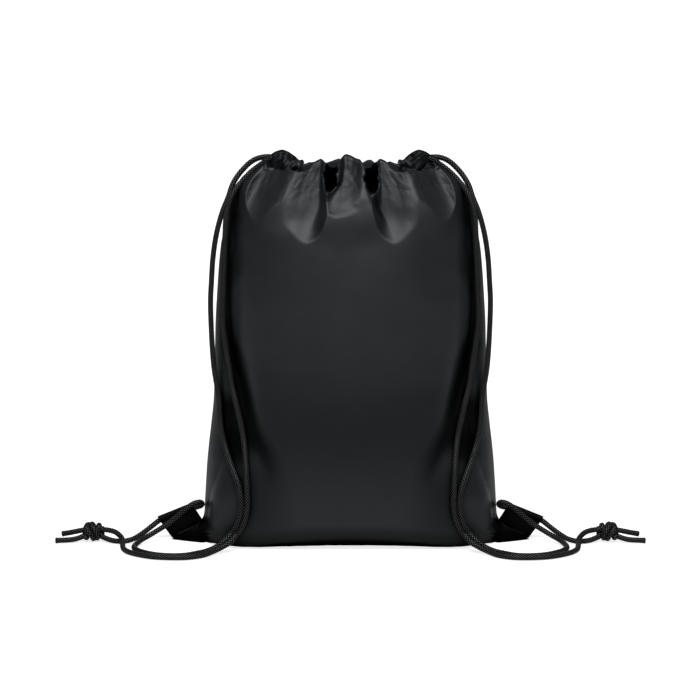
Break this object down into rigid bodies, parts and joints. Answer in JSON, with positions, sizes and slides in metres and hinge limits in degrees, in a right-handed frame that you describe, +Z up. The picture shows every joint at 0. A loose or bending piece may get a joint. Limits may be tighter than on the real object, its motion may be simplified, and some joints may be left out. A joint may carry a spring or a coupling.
{
  "type": "drawstring backpack",
  "caption": "Soft drawstring backpack: gathered casings at the mouth, two closed cord loops as shoulder straps through corner tabs, standing filled on its base.",
  "frame": {"origin": "On the floor at the middle of the bag's flat bottom, in the plane of the side seams", "axes": "+Z up, towards the mouth; the front panel faces -Y; +X to the right as seen from the front, along the mouth and both corner tabs"},
  "size_m": [0.5772, 0.1546, 0.3783],
  "materials": {
    "polyester": "black plain-weave polyester, soft sheen",
    "cord": "black braided polyester cord",
    "thread": "black polyester sewing thread"
  },
  "bodies": {
    "bag": {"front_panel": "polyester", "back_panel": "polyester", "left_seam_overlock": "thread", "right_seam_overlock": "thread", "bottom_seam_overlock": "thread", "left_cord_far_turn": "cord", "right_cord_far_turn": "cord", "left_cord_front_exit": "cord", "left_cord_back_exit": "cord", "left_corner_tab": "polyester", "left_tab_bartack": "thread", "left_cord_tab_pass": "cord", "right_cord_front_exit": "cord", "right_cord_back_exit": "cord", "right_corner_tab": "polyester", "right_tab_bartack": "thread", "right_cord_tab_pass": "cord"},
    "front_lip": {"front_casing": "polyester", "front_casing_stitching": "thread", "left_cord_front_run": "cord", "right_cord_front_run": "cord"},
    "back_lip": {"back_casing": "polyester", "back_casing_stitching": "thread", "left_cord_back_run": "cord", "right_cord_back_run": "cord"},
    "left_strap": {"left_strap_front_strand": "cord", "left_strap_back_strand": "cord"},
    "left_cord_end": {"left_knot_leg_front": "cord", "left_knot_leg_back": "cord", "left_cord_knot": "cord", "left_cord_upper_tail": "cord", "left_cord_lower_tail": "cord"},
    "right_strap": {"right_strap_front_strand": "cord", "right_strap_back_strand": "cord"},
    "right_cord_end": {"right_knot_leg_front": "cord", "right_knot_leg_back": "cord", "right_cord_knot": "cord", "right_cord_upper_tail": "cord", "right_cord_lower_tail": "cord"}
  },
  "joints": [
    {"name": "mouth_front", "type": "hinge", "parent": "bag", "child": "front_lip", "pos_m": [0, -0.03, 0.345], "axis": [1, 0, 0], "range_deg": [0, 25]},
    {"name": "mouth_back", "type": "hinge", "parent": "bag", "child": "back_lip", "pos_m": [0, 0.03, 0.345], "axis": [1, 0, 0], "range_deg": [-25, 0]},
    {"name": "left_strap_swing", "type": "hinge", "parent": "bag", "child": "left_strap", "pos_m": [-0.101, 0, 0.367], "axis": [-0.2924, -0.107, -0.9503], "range_deg": [0, 65]},
    {"name": "right_strap_swing", "type": "hinge", "parent": "bag", "child": "right_strap", "pos_m": [0.101, 0, 0.367], "axis": [-0.2924, 0.107, 0.9503], "range_deg": [0, 65]},
    {"name": "left_cord_end_swing", "type": "hinge", "parent": "bag", "child": "left_cord_end", "pos_m": [-0.192, 0, 0.016], "axis": [0, 0, -1], "range_deg": [0, 40]},
    {"name": "right_cord_end_swing", "type": "hinge", "parent": "bag", "child": "right_cord_end", "pos_m": [0.192, 0, 0.016], "axis": [0, 0, 1], "range_deg": [0, 40]}
  ],
  "couplings": [
    {"joint": "mouth_back", "follows": "mouth_front", "ratio": -1}
  ]
}
